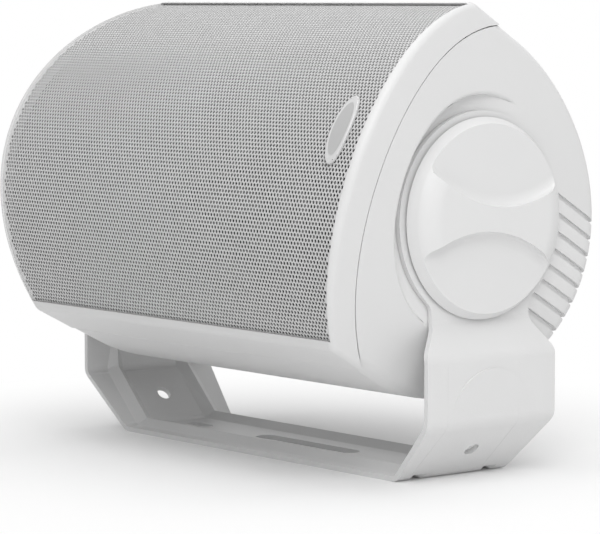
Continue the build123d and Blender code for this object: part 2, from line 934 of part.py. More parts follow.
# Wadding that lines the top of the cabinet
with BuildPart() as damping_pad:
    outer_r = rear_radius - wall - pad_wall_gap
    inner_r = outer_r - pad_thickness
    with BuildSketch(end_plane()):
        with BuildLine():
            outside = CenterArc((0, rear_centre_u), outer_r, pad_start, pad_sweep)
            inside = CenterArc((0, rear_centre_u), inner_r, pad_start, pad_sweep)
            Line(outside @ 0, inside @ 0)
            Line(outside @ 1, inside @ 1)
        make_face()
    extrude(amount=pad_half_length, both=True)
save(damping_pad, "damping_pad")


# Wires inside the cabinet, each a tube along straight runs and arcs
def wire_node(name, routes):
    with BuildPart() as wires:
        for route in routes:
            points = [body_point(*spot) for spot in route]
            with BuildLine() as path:
                FilletPolyline(*points, radius=wire_bend)
            start = Plane(origin=points[0], z_dir=points[1] - points[0])
            with BuildSketch(start):
                Circle(wire_radius)
            sweep(path=path.line)
    save(wires, name)


wire_foot = board_top + wire_gap
coil_front_u = board_u + inductor_radius + coil_wire_room
tap_radius = basket_floor_radius + wire_gap
tap_far = tap_radius + wire_lead
tap_u = basket_floor_u + basket_wall
tweeter_tap_u = magnet_top_u - tweeter_magnet_thickness / 2
diagonal = sqrt(0.5)
wire_node(
    "woofer_wires",
    [
        [
            (board_x + woofer_pad_x, wire_foot, coil_front_u),
            (board_x + woofer_pad_x, wire_foot + wire_rise, coil_front_u),
            (woofer_x + tap_far * diagonal, -tap_far * diagonal, tap_u),
            (woofer_x + tap_radius * diagonal, -tap_radius * diagonal, tap_u),
        ]
    ],
)
wire_node(
    "tweeter_wires",
    [
        [
            (board_x + tweeter_pad_x, wire_foot, coil_front_u),
            (board_x + tweeter_pad_x, wire_foot + wire_rise, coil_front_u),
            (tweeter_x, -tweeter_magnet_radius - wire_lead, tweeter_tap_u),
            (tweeter_x, -tweeter_magnet_radius - wire_gap, tweeter_tap_u),
        ]
    ],
)
tail_u = cup_floor_u + post_tail + wire_gap
board_rear_u = board_u - board_width / 2 + wire_radius + wire_from_edge
wire_node(
    "terminal_wires",
    [
        [
            (post_x, 0, tail_u),
            (post_x, 0, tail_u + wire_lead),
            (board_x + positive_pad_x, wire_foot + wire_rise, board_rear_u),
            (board_x + positive_pad_x, wire_foot, board_rear_u),
        ],
        [
            (-post_x, 0, tail_u),
            (-post_x, 0, tail_u + wire_lead),
            (board_x + negative_pad_x, wire_foot + wire_rise, board_rear_u),
            (board_x + negative_pad_x, wire_foot, board_rear_u),
        ],
    ],
)

# Clamp hardware at each end: brass insert, washer, knob and its stud
washer_x = eye_outer_x + washer_gap
knob_base_x = washer_x + washer_thickness + washer_gap
knob_top_x = knob_base_x + knob_height
hex_radius = hex_flats / sqrt(3)


def knob_scoops(plane, side):
    # Two round-bottomed cuts that leave the knob's grip bar between them
    with BuildPart() as scoops:
        with BuildSketch(plane.offset(knob_top_x - scoop_depth)):
            for j in (-1, 1):
                with Locations((j * (scoop_radius + bar_waist / 2), 0)):
                    Circle(scoop_radius)
        extrude(amount=far)
        floors = scoops.faces().sort_by(Axis((0, 0, 0), (side, 0, 0)))[:2]
        fillet(floors.edges(), radius=scoop_fillet)
    return scoops.part


for name, side in (("right", 1), ("left", -1)):
    with BuildPart() as insert:
        with BuildSketch(end_plane(insert_inner_x, side)):
            Circle(insert_radius)
            Circle(stud_radius + thread_clearance, mode=Mode.SUBTRACT)
        extrude(amount=insert_length)
    save(insert, f"{name}_insert")
    with BuildPart() as washer:
        with BuildSketch(end_plane(washer_x, side)):
            Circle(washer_radius)
            Circle(stud_radius + stud_clearance, mode=Mode.SUBTRACT)
        extrude(amount=washer_thickness)
    save(washer, f"{name}_washer")
    with BuildPart() as stud:
        with BuildSketch(end_plane(insert_inner_x + stud_end_room, side)):
            Circle(stud_radius)
        extrude(amount=knob_base_x + hex_sunk - insert_inner_x - stud_end_room)
        with BuildSketch(end_plane(knob_base_x + hex_sunk, side)):
            RegularPolygon(hex_radius, 6)
        extrude(amount=hex_height)
    save(stud, f"{name}_stud")
    # The bar of the knob lies along the plane's local y, this many degrees down to the rear
    slope = radians(knob_slope[name])
    knob_plane = Plane(origin=pivot, x_dir=Vector(0, sin(slope), cos(slope)), z_dir=along * side)
    with BuildPart() as knob:
        with BuildSketch(knob_plane.offset(knob_base_x)):
            Circle(knob_radius)
        extrude(amount=knob_height)
        fillet(knob.faces().sort_by(Axis.X)[-1 if side > 0 else 0].edges(), radius=knob_edge_radius)
        add(knob_scoops(knob_plane, side), mode=Mode.SUBTRACT)
        with BuildSketch(end_plane(knob_base_x, side)):
            RegularPolygon(hex_radius + insert_fit, 6)
        extrude(amount=hex_sunk + hex_height + insert_fit, mode=Mode.SUBTRACT)
    save(knob, f"{name}_knob")


# Bracket: one folded sheet from eye to eye
half_sheet = sheet / 2
arm_x = arm_outer_x - half_sheet
eye_x = eye_outer_x - half_sheet
strip_right = [
    (base_half_length, half_sheet),
    (arm_x, arm_bend_z),
    (arm_x, joggle_low_z),
    (eye_x, joggle_high_z),
    (eye_x, pivot_height + eye_radius + sheet),
]
strip_points = [(-x, z) for x, z in reversed(strip_right)] + strip_right
slant_angle = degrees(atan2(arm_bend_z - half_sheet, arm_x - base_half_length))


def bead(y, shift, height, half_width):
    # Pressed rib that runs along the base, up both slants and fades out on the arms
    stations = [
        (arm_x, bead_top_z, 90.0, bead_fade),
        (arm_x, arm_bend_z, (90.0 + slant_angle) / 2, 1.0),
        (base_half_length, half_sheet, slant_angle / 2, 1.0),
    ]
    mirrored = [(-x, z, -lean, size) for x, z, lean, size in reversed(stations)]
    folds = [abs(90.0 - slant_angle) / 2, slant_angle / 2]
    stretch = [1.0, 1 / cos(radians(folds[0])), 1 / cos(radians(folds[1]))]
    stretch = stretch + stretch[::-1]
    with BuildPart() as rib:
        for (x, z, lean, size), grow in zip(stations + mirrored, stretch):
            inward = Vector(-sin(radians(lean)), 0, cos(radians(lean)))
            foot = Vector(x, y, z) + inward * (shift * grow)
            with BuildSketch(Plane(origin=foot, x_dir=(0, 1, 0), z_dir=Vector(0, 1, 0).cross(inward))):
                with BuildLine():
                    Polyline(
                        (-half_width * size, -bead_root * grow),
                        (half_width * size, -bead_root * grow),
                        (0, height * size * grow),
                        close=True,
                    )
                make_face()
        loft(ruled=True)
    return rib.part


bead_y = base_half_width - bead_from_edge
with BuildPart() as bracket:
    with BuildSketch(Plane.XZ):
        with BuildLine():
            FilletPolyline(*strip_points, radius=bend_radius)
            offset(amount=half_sheet, side=Side.BOTH)
        make_face()
    extrude(amount=2 * arm_half_width, both=True)
    with BuildSketch(Plane.YZ) as outline:
        with BuildLine():
            Polyline(
                (base_half_width, -sheet),
                (base_half_width, 0),
                (arm_half_width, arm_bend_z),
                (arm_half_width, arm_top_z),
                (neck_half_width, neck_z),
                (neck_half_width, pivot_height),
                (-neck_half_width, pivot_height),
                (-neck_half_width, neck_z),
                (-arm_half_width, arm_top_z),
                (-arm_half_width, arm_bend_z),
                (-base_half_width, 0),
                (-base_half_width, -sheet),
                close=True,
            )
        make_face()
        with Locations((0, pivot_height)):
            Circle(eye_radius)
        fillet(
            outline.vertices().filter_by_position(Axis.Y, sheet, pivot_height - sheet), radius=neck_fillet
        )
    extrude(amount=far, both=True, mode=Mode.INTERSECT)
    for y in (-bead_y, bead_y):
        add(bead(y, half_sheet, bead_height, bead_half_width))
        groove = bead(y, -half_sheet, bead_height * groove_share, bead_half_width * groove_share)
        add(groove, mode=Mode.SUBTRACT)
    # Arched panel pressed out of each arm, fading out towards the bend
    emboss_lean = atan2(emboss_height, arm_bend_z + emboss_radius - emboss_low_z)
    for side in (1, -1):
        face = Vector(side * cos(emboss_lean), 0, -sin(emboss_lean))
        foot = Vector(side * arm_outer_x, 0, emboss_low_z)
        with BuildSketch(Plane(origin=foot, x_dir=(0, side, 0), z_dir=face)):
            with Locations((0, arm_bend_z - emboss_low_z)):
                Circle(emboss_radius)
            with Locations((0, -emboss_radius)):
                Rectangle(4 * emboss_radius, 2 * emboss_radius, mode=Mode.SUBTRACT)
        extrude(amount=-half_sheet)
        middle = Vector(side * (base_half_length + arm_x) / 2, 0, (half_sheet + arm_bend_z) / 2)
        across = Vector(side * sin(radians(slant_angle)), 0, -cos(radians(slant_angle)))
        with BuildSketch(Plane(origin=middle, x_dir=(0, 1, 0), z_dir=across)):
            Circle(slant_hole_radius)
        extrude(amount=2 * sheet, both=True, mode=Mode.SUBTRACT)
    with BuildSketch(Plane.YZ):
        with Locations((0, pivot_height)):
            Circle(stud_radius + stud_clearance)
    extrude(amount=far, both=True, mode=Mode.SUBTRACT)
    with BuildSketch(Plane.XY):
        SlotOverall(centre_slot_length, centre_slot_width)
        with Locations((-end_slot_x, 0), (end_slot_x, 0)):
            SlotOverall(end_slot_length, end_slot_width)
    extrude(amount=sheet, mode=Mode.SUBTRACT)
save(bracket, "bracket")
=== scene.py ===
import math

import bmesh
import bpy
from mathutils import Matrix, Vector


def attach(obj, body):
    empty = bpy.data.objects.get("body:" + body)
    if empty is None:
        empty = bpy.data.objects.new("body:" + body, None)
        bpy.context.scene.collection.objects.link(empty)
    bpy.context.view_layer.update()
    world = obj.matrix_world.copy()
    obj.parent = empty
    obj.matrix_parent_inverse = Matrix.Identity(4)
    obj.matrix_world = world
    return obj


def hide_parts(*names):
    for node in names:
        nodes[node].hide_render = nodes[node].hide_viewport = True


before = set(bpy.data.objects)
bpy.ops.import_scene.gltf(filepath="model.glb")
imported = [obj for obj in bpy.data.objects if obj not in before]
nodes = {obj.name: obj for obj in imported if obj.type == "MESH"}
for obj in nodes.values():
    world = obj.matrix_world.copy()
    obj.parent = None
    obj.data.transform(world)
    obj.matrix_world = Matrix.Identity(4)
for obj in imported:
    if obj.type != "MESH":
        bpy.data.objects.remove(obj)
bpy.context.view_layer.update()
scene = bpy.context.scene
print("frame loaded,", len(nodes), "nodes")

mm = 0.001

# the speaker's own directions: x along it, v up the grille, u out of the grille
bodyPose = {"tilt": math.radians(28.5), "pivotZ": 97.1 * mm}
sinTilt, cosTilt = math.sin(bodyPose["tilt"]), math.cos(bodyPose["tilt"])
toWorld = Matrix((
    (1, 0, 0, 0),
    (0, sinTilt, -cosTilt, 0),
    (0, cosTilt, sinTilt, bodyPose["pivotZ"]),
    (0, 0, 0, 1),
))
toBody = toWorld.inverted()


class Wire:
    # a shader socket that can stand in a Python sum
    def __init__(self, shade, socket):
        self.shade = shade
        self.socket = socket

    def combine(self, operation, left, right):
        return self.shade.node("ShaderNodeMath", {"operation": operation}, {0: left, 1: right})

    def __add__(self, other):
        return self.combine("ADD", self, other)

    def __radd__(self, other):
        return self.combine("ADD", other, self)

    def __sub__(self, other):
        return self.combine("SUBTRACT", self, other)

    def __rsub__(self, other):
        return self.combine("SUBTRACT", other, self)

    def __mul__(self, other):
        return self.combine("MULTIPLY", self, other)

    def __rmul__(self, other):
        return self.combine("MULTIPLY", other, self)


class Shade:
    # one material and its nodes
    def __init__(self, name):
        self.material = bpy.data.materials.new(name)
        self.material.use_nodes = True
        self.tree = self.material.node_tree
        self.tree.nodes.clear()

    def node(self, kind, settings=None, inputs=None, output=0):
        made = self.tree.nodes.new(kind)
        for key, value in (settings or {}).items():
            if key == "stops":
                ramp = made.color_ramp
                while len(ramp.elements) < len(value):
                    ramp.elements.new(0.5)
                for element, (place, colour) in zip(ramp.elements, value):
                    element.position = place
                    element.color = colour
            else:
                setattr(made, key, value)
        for key, value in (inputs or {}).items():
            if isinstance(value, Wire):
                self.tree.links.new(value.socket, made.inputs[key])
            else:
                made.inputs[key].default_value = value
        return Wire(self, made.outputs[output]) if made.outputs else None

    def place(self):
        return self.node("ShaderNodeTexCoord", output="Object")

    def bodyPlace(self, centreX=0.0):
        # object coordinates turned into x, v, u about a driver's axis
        return self.node("ShaderNodeMapping", {"vector_type": "POINT"}, {
            "Vector": self.place(),
            "Rotation": (bodyPose["tilt"] - math.pi / 2, 0, 0),
            "Location": (-centreX, -bodyPose["pivotZ"] * cosTilt, -bodyPose["pivotZ"] * sinTilt),
        })

    def noise(self, place, scale, detail=2.0, roughness=0.5):
        return self.node("ShaderNodeTexNoise", None, {
            "Vector": place, "Scale": scale, "Detail": detail, "Roughness": roughness,
        })

    def blend(self, factor, first, second):
        return self.node("ShaderNodeMix", {"data_type": "RGBA"}, {
            0: factor, 6: (*first, 1), 7: (*second, 1),
        }, output=2)

    def bump(self, height, strength, depth):
        return self.node("ShaderNodeBump", None, {
            "Height": height, "Strength": strength, "Distance": depth,
        })

    def close(self, inputs):
        shader = self.node("ShaderNodeBsdfPrincipled", None, inputs)
        self.node("ShaderNodeOutputMaterial", None, {"Surface": shader})
        return self.material


def grainedFinish(name, look):
    # even paint or plastic: soft mottle in colour, fine grain in gloss and relief
    shade = Shade(name)
    place = shade.place()
    mottle = shade.noise(place, look["mottle"], detail=3.0)
    grain = shade.noise(place, look["grain"], look.get("grainDetail", 2.0))
    rough = look["rough"] + (mottle - 0.5) * look["roughSwing"] + (grain - 0.5) * look["roughSwing"]
    return shade.close({
        "Base Color": shade.blend(mottle, look["dark"], look["light"]),
        "Roughness": rough,
        "Coat Weight": look.get("coat", 0.0),
        "Normal": shade.bump(grain, look["relief"], look["depth"]),
    })


def ringedFinish(name, look):
    # turned or pressed round pieces: fine rings about a driver's axis
    shade = Shade(name)
    place = shade.bodyPlace(look["centreX"])
    flat = shade.node("ShaderNodeVectorMath", {"operation": "MULTIPLY"}, {0: place, 1: (1, 1, 0)})
    reach = shade.node("ShaderNodeVectorMath", {"operation": "LENGTH"}, {0: flat}, output="Value")
    ring = shade.node("ShaderNodeMath", {"operation": "SINE"}, {0: reach * look["rings"]})
    mottle = shade.noise(place, look["mottle"], detail=3.0)
    height = ring * look["ringShare"] + shade.noise(place, look["grain"])
    return shade.close({
        "Base Color": shade.blend(mottle, look["dark"], look["light"]),
        "Roughness": look["rough"] + (mottle - 0.5) * look["roughSwing"] + ring * (look["roughSwing"] / 3),
        "Metallic": look.get("metal", 0.0),
        "Normal": shade.bump(height, look["relief"], look["depth"]),
    })


def wovenFinish(name, look):
    # cloth and fibre: two crossing waves under a loose noise
    shade = Shade(name)
    place = shade.place()
    warp = shade.node("ShaderNodeTexWave", {"bands_direction": "X"}, {
        "Vector": place, "Scale": look["thread"], "Distortion": look["loose"],
    })
    weft = shade.node("ShaderNodeTexWave", {"bands_direction": "Z"}, {
        "Vector": place, "Scale": look["thread"], "Distortion": look["loose"],
    })
    weave = warp * 0.5 + weft * 0.5
    fuzz = shade.noise(place, look["fuzz"], detail=4.0)
    return shade.close({
        "Base Color": shade.blend(
            weave * look["weaveShare"] + fuzz * look["fuzzShare"], look["dark"], look["light"],
        ),
        "Roughness": look["rough"] + (fuzz - 0.5) * look["roughSwing"],
        "Normal": shade.bump(weave + fuzz * look["fuzzRelief"], look["relief"], look["depth"]),
    })


def brushedFinish(name, look):
    # drawn metal: noise stretched along one direction
    shade = Shade(name)
    place = shade.place()
    drawn = shade.node("ShaderNodeMapping", None, {"Vector": place, "Scale": look["stretch"]})
    streak = shade.noise(drawn, look["streak"], detail=3.0)
    stain = shade.noise(place, look["stain"], detail=3.0)
    return shade.close({
        "Base Color": shade.blend(stain, look["dark"], look["light"]),
        "Roughness": look["rough"] + (streak - 0.5) * look["roughSwing"],
        "Metallic": 1.0,
        "Normal": shade.bump(streak, look["relief"], look["depth"]),
    })


def grey(value):
    return (value, value, value)


whiteShell = grainedFinish("whiteShell", {
    "dark": grey(0.735), "light": grey(0.765), "mottle": 28.0,
    "grain": 2600.0, "grainDetail": 3.0, "rough": 0.47, "roughSwing": 0.14,
    "relief": 0.22, "depth": 0.12 * mm,
})
whitePowder = grainedFinish("whitePowder", {
    "dark": grey(0.72), "light": grey(0.755), "mottle": 45.0,
    "grain": 1100.0, "grainDetail": 2.0, "rough": 0.42, "roughSwing": 0.12,
    "relief": 0.3, "depth": 0.1 * mm,
})
grillePowder = grainedFinish("grillePowder", {
    "dark": grey(0.68), "light": grey(0.72), "mottle": 60.0,
    "grain": 2400.0, "grainDetail": 2.0, "rough": 0.48, "roughSwing": 0.12,
    "relief": 0.2, "depth": 0.06 * mm,
})
whiteGrip = grainedFinish("whiteGrip", {
    "dark": grey(0.74), "light": grey(0.765), "mottle": 34.0,
    "grain": 3200.0, "grainDetail": 2.0, "rough": 0.44, "roughSwing": 0.1,
    "relief": 0.16, "depth": 0.08 * mm,
})


def badgeFinish(look):
    # satin oval plate with a lighter rim
    shade = Shade("paleBadge")
    place = shade.bodyPlace(look["centreX"])
    even = shade.node("ShaderNodeVectorMath", {"operation": "MULTIPLY"}, {0: place, 1: look["fit"]})
    reach = shade.node("ShaderNodeVectorMath", {"operation": "LENGTH"}, {0: even}, output="Value")
    rim = shade.node("ShaderNodeMapRange", {"interpolation_type": "SMOOTHSTEP"}, {
        "Value": reach, "From Min": look["rimFrom"], "From Max": look["rimTo"],
    })
    grain = shade.noise(place, look["grain"])
    return shade.close({
        "Base Color": shade.blend(rim, look["plate"], look["rim"]),
        "Roughness": look["rough"] + (grain - 0.5) * look["roughSwing"],
        "Coat Weight": look["coat"],
        "Normal": shade.bump(rim + grain * look["grainShare"], look["relief"], look["depth"]),
    })


paleBadge = badgeFinish({
    "centreX": 97.0 * mm, "fit": (1 / (5.0 * mm), 1 / (13.5 * mm), 0), "rimFrom": 0.74, "rimTo": 0.82,
    "plate": grey(0.5), "rim": grey(0.7), "grain": 4200.0, "grainShare": 0.05,
    "rough": 0.3, "roughSwing": 0.1, "coat": 0.3, "relief": 0.6, "depth": 0.25 * mm,
})
# near-black standing in for the shade inside the cabinet, as seen through the grille's holes: painted shade
paintedShadeBlack = grainedFinish("paintedShadeBlack", {
    "dark": grey(0.012), "light": grey(0.03), "mottle": 60.0,
    "grain": 900.0, "grainDetail": 4.0, "rough": 0.82, "roughSwing": 0.2,
    "relief": 0.4, "depth": 0.15 * mm,
})
blackRubber = grainedFinish("blackRubber", {
    "dark": grey(0.018), "light": grey(0.034), "mottle": 90.0,
    "grain": 1500.0, "rough": 0.68, "roughSwing": 0.2, "relief": 0.2, "depth": 0.1 * mm,
})
paleRubber = grainedFinish("paleRubber", {
    "dark": grey(0.3), "light": grey(0.36), "mottle": 90.0,
    "grain": 1500.0, "rough": 0.7, "roughSwing": 0.16, "relief": 0.2, "depth": 0.1 * mm,
})
blackMoulding = grainedFinish("blackMoulding", {
    "dark": grey(0.022), "light": grey(0.034), "mottle": 50.0,
    "grain": 2600.0, "rough": 0.5, "roughSwing": 0.16, "relief": 0.22, "depth": 0.1 * mm,
})
blackSteel = grainedFinish("blackSteel", {
    "dark": grey(0.02), "light": grey(0.04), "mottle": 70.0,
    "grain": 1000.0, "rough": 0.4, "roughSwing": 0.16, "relief": 0.3, "depth": 0.08 * mm,
})
ferriteGrey = grainedFinish("ferriteGrey", {
    "dark": grey(0.035), "light": grey(0.075), "mottle": 220.0,
    "grain": 1800.0, "grainDetail": 4.0, "rough": 0.74, "roughSwing": 0.2,
    "relief": 0.4, "depth": 0.12 * mm,
})
redGrip = grainedFinish("redGrip", {
    "dark": (0.34, 0.012, 0.012), "light": (0.42, 0.02, 0.018), "mottle": 160.0,
    "grain": 3000.0, "rough": 0.34, "roughSwing": 0.12, "coat": 0.2, "relief": 0.12, "depth": 0.05 * mm,
})
blackGrip = grainedFinish("blackGrip", {
    "dark": grey(0.014), "light": grey(0.024), "mottle": 160.0,
    "grain": 3000.0, "rough": 0.34, "roughSwing": 0.12, "coat": 0.2, "relief": 0.12, "depth": 0.05 * mm,
})
wireSleeve = grainedFinish("wireSleeve", {
    "dark": grey(0.02), "light": grey(0.045), "mottle": 300.0,
    "grain": 2400.0, "rough": 0.52, "roughSwing": 0.16, "relief": 0.15, "depth": 0.05 * mm,
})
boardGreen = grainedFinish("boardGreen", {
    "dark": (0.02, 0.085, 0.03), "light": (0.045, 0.15, 0.055), "mottle": 420.0,
    "grain": 5200.0, "rough": 0.42, "roughSwing": 0.18, "coat": 0.3, "relief": 0.25, "depth": 0.06 * mm,
})
conePulp = ringedFinish("conePulp", {
    "centreX": -32.5 * mm, "rings": 2 * math.pi / (1.6 * mm), "ringShare": 0.4,
    "dark": grey(0.014), "light": grey(0.03), "mottle": 140.0, "grain": 1600.0,
    "rough": 0.6, "roughSwing": 0.18, "relief": 0.3, "depth": 0.1 * mm,
})
domeSilk = ringedFinish("domeSilk", {
    "centreX": 60.0 * mm, "rings": 2 * math.pi / (0.5 * mm), "ringShare": 0.5,
    "dark": grey(0.02), "light": grey(0.045), "mottle": 300.0, "grain": 2600.0,
    "rough": 0.66, "roughSwing": 0.18, "relief": 0.3, "depth": 0.06 * mm,
})
copperTurns = ringedFinish("copperTurns", {
    "centreX": -32.5 * mm, "rings": 2 * math.pi / (0.4 * mm), "ringShare": 0.7,
    "dark": (0.42, 0.16, 0.07), "light": (0.62, 0.26, 0.12), "mottle": 200.0, "grain": 2200.0,
    "rough": 0.34, "roughSwing": 0.14, "metal": 0.9, "relief": 0.4, "depth": 0.06 * mm,
})
spiderCloth = wovenFinish("spiderCloth", {
    "thread": 900.0, "loose": 0.6, "fuzz": 800.0, "weaveShare": 0.6, "fuzzShare": 0.4, "fuzzRelief": 0.6,
    "dark": (0.32, 0.2, 0.06), "light": (0.62, 0.45, 0.18),
    "rough": 0.85, "roughSwing": 0.2, "relief": 0.6, "depth": 0.15 * mm,
})
paleWadding = wovenFinish("paleWadding", {
    "thread": 180.0, "loose": 14.0, "fuzz": 420.0, "weaveShare": 0.6, "fuzzShare": 0.4, "fuzzRelief": 0.6,
    "dark": (0.55, 0.55, 0.52), "light": (0.84, 0.84, 0.8),
    "rough": 0.95, "roughSwing": 0.1, "relief": 0.9, "depth": 1.0 * mm,
})
zincSteel = brushedFinish("zincSteel", {
    "stretch": (1.0, 1.0, 12.0), "streak": 380.0, "stain": 120.0, "dark": (0.46, 0.46, 0.48),
    "light": (0.62, 0.62, 0.63), "rough": 0.34, "roughSwing": 0.2, "relief": 0.12, "depth": 0.05 * mm,
})
turnedBrass = brushedFinish("turnedBrass", {
    "stretch": (10.0, 1.0, 1.0), "streak": 420.0, "stain": 160.0, "dark": (0.58, 0.39, 0.14),
    "light": (0.74, 0.53, 0.22), "rough": 0.26, "roughSwing": 0.16, "relief": 0.12, "depth": 0.04 * mm,
})
print("finishes made:", len(bpy.data.materials))

# how meshes are joined up, shaded and softened
meshCare = {
    "weld": 0.002 * mm, "sliver": 0.001 * mm, "flatAngle": math.radians(0.25), "sharpAngle": math.radians(34),
    "bevelAngle": math.radians(35), "bevelSegments": 2, "normalWeight": 80,
}


def addPiece(name, bm, body, slot, *finishes):
    mesh = bpy.data.meshes.new(name)
    bm.to_mesh(mesh)
    bm.free()
    piece = bpy.data.objects.new(name, mesh)
    scene.collection.objects.link(piece)
    for finish in finishes:
        mesh.materials.append(finish)
    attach(piece, body)
    return piece


def roundShading(bm, sharpAngle=meshCare["sharpAngle"]):
    # smooth faces, with the real edges kept crisp
    for face in bm.faces:
        face.smooth = True
    for edge in bm.edges:
        edge.smooth = edge.calc_face_angle(math.pi) < sharpAngle


def softenEdges(piece, width):
    # a moulded or painted edge is never knife sharp
    bevel = piece.modifiers.new("softEdge", "BEVEL")
    bevel.width = width
    bevel.segments = meshCare["bevelSegments"]
    bevel.profile = 0.5
    bevel.limit_method = "ANGLE"
    bevel.angle_limit = meshCare["bevelAngle"]
    bevel.material = -1
    bevel.harden_normals = False
    evenNormals(piece)


def evenNormals(piece):
    weigh = piece.modifiers.new("evenNormals", "WEIGHTED_NORMAL")
    weigh.keep_sharp = True
    weigh.weight = meshCare["normalWeight"]


def joinUp(bm):
    bmesh.ops.remove_doubles(bm, verts=bm.verts, dist=meshCare["weld"])
    bmesh.ops.dissolve_degenerate(bm, dist=meshCare["sliver"], edges=bm.edges)


def openEdges(bm):
    return sum(1 for edge in bm.edges if not edge.is_manifold)


def mergedCopy(node):
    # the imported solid's triangles joined up, its flats made single faces again
    bm = bmesh.new()
    bm.from_mesh(nodes[node].data)
    joinUp(bm)
    bmesh.ops.dissolve_limit(
        bm, angle_limit=meshCare["flatAngle"], verts=bm.verts, edges=bm.edges,
        use_dissolve_boundaries=False, delimit={"NORMAL"},
    )
    return bm


def shellPiece(name, node, body, slot, finish, soft=None):
    bm = mergedCopy(node)
    roundShading(bm)
    piece = addPiece(name, bm, body, slot, finish)
    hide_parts(node)
    if soft:
        softenEdges(piece, soft)
    else:
        evenNormals(piece)
    return piece


# perforated front sheet
grilleSheet = {
    "radius": 85.1 * mm, "apexU": 71.25 * mm, "halfHeight": 68.0 * mm, "halfLength": 109.174 * mm,
    "endBow": 192.0 * mm, "endDraft": 0.06, "sheet": 0.5 * mm, "rimWall": 0.4 * mm, "flange": 4.45 * mm,
    "pitch": 1.8 * mm, "rowStep": 1.517 * mm, "hole": 1.4 * mm, "holeSides": 8, "spare": 0.05 * mm,
    "columnDoublings": 7, "rowDoublings": 6, "rimAlong": 130, "rimUp": 100,
    "holeReach": 1.01, "weldParts": 100, "bakeScale": 4, "bakeShift": 0.5, "sharpAngle": math.radians(40),
    "cuts": (-38.0 * mm, 38.0 * mm), "cutSlack": 0.0005 * mm,
}


def grilleAngle(g, shrink, level):
    # half the angle that the sheet covers, its edge set in by shrink at a depth of level
    return math.asin((g["halfHeight"] - shrink) / (g["radius"] + level))


def grilleEnd(g, arc, shrink):
    # half length of the sheet at a place along its arc
    angle = arc / g["radius"]
    up = g["radius"] * math.sin(angle)
    drop = g["radius"] * (1 - math.cos(angle))
    bow = g["endBow"] - math.sqrt(g["endBow"] ** 2 - up ** 2)
    return g["halfLength"] - shrink - bow - g["endDraft"] * drop


def everything(bm):
    return bm.verts[:] + bm.edges[:] + bm.faces[:]


def vertsOf(geometry):
    return [item for item in geometry if isinstance(item, bmesh.types.BMVert)]


def edgesOf(geometry):
    return [item for item in geometry if isinstance(item, bmesh.types.BMEdge)]


def facesAt(verts):
    # the faces round some vertices, each once and in a fixed order
    return list(dict.fromkeys(face for vert in verts for face in vert.link_faces))


def holeCell(g):
    # one brick of the sheet with its hole, front, back and the hole's wall
    bm = bmesh.new()
    bmesh.ops.create_grid(bm, x_segments=2, y_segments=1, size=0.5)
    bmesh.ops.scale(bm, vec=(g["pitch"], g["rowStep"], 1), verts=bm.verts)
    bmesh.ops.delete(bm, geom=bm.faces[:], context="FACES_KEEP_BOUNDARY")
    # an octagon of the same area as the round hole
    evenArea = math.sqrt(2 * math.pi / (g["holeSides"] * math.sin(2 * math.pi / g["holeSides"])))
    holeRadius = g["hole"] / 2 * evenArea
    bmesh.ops.create_circle(bm, segments=g["holeSides"], radius=holeRadius)
    bmesh.ops.triangle_fill(bm, use_beauty=True, edges=bm.edges[:], normal=(0, 0, 1))
    back = bmesh.ops.duplicate(bm, geom=everything(bm))
    bmesh.ops.translate(bm, vec=(0, 0, -g["sheet"]), verts=vertsOf(back["geom"]))
    rims = [
        edge for edge in bm.edges
        if edge.is_boundary and all(vert.co.xy.length < holeRadius * g["holeReach"] for vert in edge.verts)
    ]
    bmesh.ops.bridge_loops(bm, edges=rims)
    return bm


def holeField(g):
    # bricks doubled up to a field larger than the sheet, and the way to its middle
    bm = holeCell(g)
    nextRow = bmesh.ops.duplicate(bm, geom=everything(bm))
    bmesh.ops.translate(bm, vec=(g["pitch"] / 2, g["rowStep"], 0), verts=vertsOf(nextRow["geom"]))
    doublings = (
        (Vector((g["pitch"], 0, 0)), g["columnDoublings"]),
        (Vector((0, 2 * g["rowStep"], 0)), g["rowDoublings"]),
    )
    for step, count in doublings:
        for _ in range(count):
            copy = bmesh.ops.duplicate(bm, geom=everything(bm))
            bmesh.ops.translate(bm, vec=step, verts=vertsOf(copy["geom"]))
            step = step * 2
    middle = Vector((g["pitch"] * 2 ** (g["columnDoublings"] - 1), g["rowStep"] * 2 ** g["rowDoublings"], 0))
    bmesh.ops.translate(bm, vec=-middle, verts=bm.verts)
    return bm, middle


def brickFits(g, row, column, middle):
    # whether a whole brick lies inside the sheet's outline
    topArc = g["radius"] * grilleAngle(g, g["rimWall"], -g["sheet"])
    x = column * g["pitch"] + (row % 2) * g["pitch"] / 2 - middle.x
    y = row * g["rowStep"] - middle.y
    for cornerY in (y - g["rowStep"] / 2, y + g["rowStep"] / 2):
        if abs(cornerY) > topArc - g["spare"]:
            return False
        if abs(x) + g["pitch"] / 2 > grilleEnd(g, cornerY, g["rimWall"]) - g["spare"]:
            return False
    return True


def dropOutside(bm, g, middle):
    fits = {}
    outside = []
    for face in bm.faces:
        centre = face.calc_center_median()
        row = round((centre.y + middle.y) / g["rowStep"])
        column = round((centre.x + middle.x) / g["pitch"] - (row % 2) / 2)
        if (row, column) not in fits:
            fits[row, column] = brickFits(g, row, column, middle)
        if not fits[row, column]:
            outside.append(face)
    bmesh.ops.delete(bm, geom=outside, context="FACES")
    bmesh.ops.remove_doubles(bm, verts=bm.verts, dist=g["pitch"] / g["weldParts"])
    print("grille bricks kept:", sum(fits.values()))


